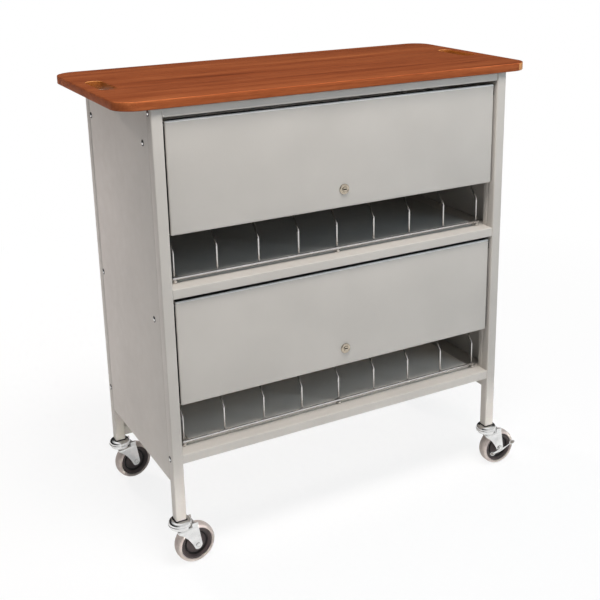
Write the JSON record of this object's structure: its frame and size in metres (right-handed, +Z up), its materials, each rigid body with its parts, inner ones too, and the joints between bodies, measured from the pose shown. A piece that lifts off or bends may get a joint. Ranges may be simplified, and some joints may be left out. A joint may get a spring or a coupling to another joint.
{
  "type": "medical chart rack",
  "caption": "Rolling steel chart cabinet with wood-laminate top, open-front tiers of wire dividers behind flip-up retracting doors, on swivel casters.",
  "frame": {"origin": "on the floor, below the centre of the part's bounding box", "axes": "+Z up, front with the doors faces -Y, +X to the right of a person facing the doors"},
  "size_m": [1.044, 0.4908, 1.088],
  "materials": {
    "painted_steel": "semi-gloss warm light grey powder coat",
    "dark_paint": "satin dark grey",
    "laminate": "satin cherry wood-grain laminate",
    "bright_wire": "bright plated wire",
    "zinc": "bright zinc plate",
    "nickel": "nickel plate",
    "nylon": "natural white nylon",
    "tyre": "matt grey rubber",
    "hub": "matt near-black brown"
  },
  "bodies": {
    "cabinet": {"worktop": "laminate", "post_front_left": "painted_steel", "post_front_right": "painted_steel", "post_rear_left": "painted_steel", "post_rear_right": "painted_steel", "rear_stretcher": "painted_steel", "side_panel_left": "painted_steel", "side_panel_right": "painted_steel", "back_panel": "painted_steel", "top_pan": "painted_steel", "middle_shelf": "painted_steel", "bottom_shelf": "painted_steel", "upper_rack_base": "dark_paint", "upper_wire_rack": "bright_wire", "upper_rack_foot_1": "nylon", "upper_rack_foot_5": "nylon", "upper_rack_foot_9": "nylon", "upper_slide_rail_left": "zinc", "upper_slide_rail_right": "zinc", "lower_rack_base": "dark_paint", "lower_wire_rack": "bright_wire", "lower_rack_foot_1": "nylon", "lower_rack_foot_5": "nylon", "lower_rack_foot_9": "nylon", "lower_slide_rail_left": "zinc", "lower_slide_rail_right": "zinc", "caster_stem_front_left": "zinc", "caster_stem_front_right": "zinc", "caster_stem_rear_left": "zinc", "caster_stem_rear_right": "zinc"},
    "upper_carriages": {"upper_carriage_left": "zinc", "upper_carriage_right": "zinc"},
    "upper_door": {"upper_door": "painted_steel", "upper_lock_barrel": "nickel", "upper_lock_nut": "zinc"},
    "upper_lock": {"upper_lock_plug": "nickel"},
    "lower_carriages": {"lower_carriage_left": "zinc", "lower_carriage_right": "zinc"},
    "lower_door": {"lower_door": "painted_steel", "lower_lock_barrel": "nickel", "lower_lock_nut": "zinc"},
    "lower_lock": {"lower_lock_plug": "nickel"},
    "caster_front_left": {"fork_front_left": "zinc", "axle_front_left": "zinc"},
    "wheel_front_left": {"hub_front_left": "hub", "tyre_front_left": "tyre"},
    "caster_front_right": {"fork_front_right": "zinc", "axle_front_right": "zinc"},
    "wheel_front_right": {"hub_front_right": "hub", "tyre_front_right": "tyre"},
    "brake_front_right": {"brake_lever_front_right": "zinc"},
    "caster_rear_left": {"fork_rear_left": "zinc", "axle_rear_left": "zinc"},
    "wheel_rear_left": {"hub_rear_left": "hub", "tyre_rear_left": "tyre"},
    "caster_rear_right": {"fork_rear_right": "zinc", "axle_rear_right": "zinc"},
    "wheel_rear_right": {"hub_rear_right": "hub", "tyre_rear_right": "tyre"},
    "brake_rear_right": {"brake_lever_rear_right": "zinc"}
  },
  "joints": [
    {"name": "upper_door_slide", "type": "slide", "parent": "cabinet", "child": "upper_carriages", "axis": [0, 1, 0], "range_m": [0, 0.2352]},
    {"name": "upper_door_flip", "type": "hinge", "parent": "upper_carriages", "child": "upper_door", "pos_m": [0, -0.21064, 1.0317], "axis": [-1, 0, 0], "range_deg": [0, 90]},
    {"name": "upper_lock_turn", "type": "hinge", "parent": "upper_door", "child": "upper_lock", "pos_m": [0, -0.21964, 0.83855], "axis": [0, 1, 0], "range_deg": [0, 90]},
    {"name": "lower_door_slide", "type": "slide", "parent": "cabinet", "child": "lower_carriages", "axis": [0, 1, 0], "range_m": [0, 0.2352]},
    {"name": "lower_door_flip", "type": "hinge", "parent": "lower_carriages", "child": "lower_door", "pos_m": [0, -0.21064, 0.63785], "axis": [-1, 0, 0], "range_deg": [0, 90]},
    {"name": "lower_lock_turn", "type": "hinge", "parent": "lower_door", "child": "lower_lock", "pos_m": [0, -0.21964, 0.4447], "axis": [0, 1, 0], "range_deg": [0, 90]},
    {"name": "swivel_front_left", "type": "hinge", "parent": "cabinet", "child": "caster_front_left", "pos_m": [-0.4393, -0.21494, 0.117], "axis": [0, 0, 1], "continuous": true},
    {"name": "roll_front_left", "type": "hinge", "parent": "caster_front_left", "child": "wheel_front_left", "pos_m": [-0.40543, -0.21197, 0.048], "axis": [-0.0872, 0.9962, 0], "continuous": true},
    {"name": "swivel_front_right", "type": "hinge", "parent": "cabinet", "child": "caster_front_right", "pos_m": [0.4393, -0.21494, 0.117], "axis": [0, 0, 1], "continuous": true},
    {"name": "roll_front_right", "type": "hinge", "parent": "caster_front_right", "child": "wheel_front_right", "pos_m": [0.47325, -0.21672, 0.048], "axis": [0.0523, 0.9986, 0], "continuous": true},
    {"name": "brake_front_right", "type": "hinge", "parent": "caster_front_right", "child": "brake_front_right", "pos_m": [0.47325, -0.21672, 0.048], "axis": [0.0523, 0.9986, 0], "range_deg": [0, 20]},
    {"name": "swivel_rear_left", "type": "hinge", "parent": "cabinet", "child": "caster_rear_left", "pos_m": [-0.4393, 0.21566, 0.117], "axis": [0, 0, 1], "continuous": true},
    {"name": "roll_rear_left", "type": "hinge", "parent": "caster_rear_left", "child": "wheel_rear_left", "pos_m": [-0.40572, 0.22098, 0.048], "axis": [-0.1564, 0.9877, 0], "continuous": true},
    {"name": "swivel_rear_right", "type": "hinge", "parent": "cabinet", "child": "caster_rear_right", "pos_m": [0.4393, 0.21566, 0.117], "axis": [0, 0, 1], "continuous": true},
    {"name": "roll_rear_right", "type": "hinge", "parent": "caster_rear_right", "child": "wheel_rear_right", "pos_m": [0.47322, 0.21803, 0.048], "axis": [-0.0698, 0.9976, 0], "continuous": true},
    {"name": "brake_rear_right", "type": "hinge", "parent": "caster_rear_right", "child": "brake_rear_right", "pos_m": [0.47322, 0.21803, 0.048], "axis": [-0.0698, 0.9976, 0], "range_deg": [0, 20]}
  ],
  "couplings": [
    {"joint": "upper_door_slide", "follows": "upper_door_flip", "m_per_rad": 0.14961},
    {"joint": "lower_door_slide", "follows": "lower_door_flip", "m_per_rad": 0.14961}
  ]
}
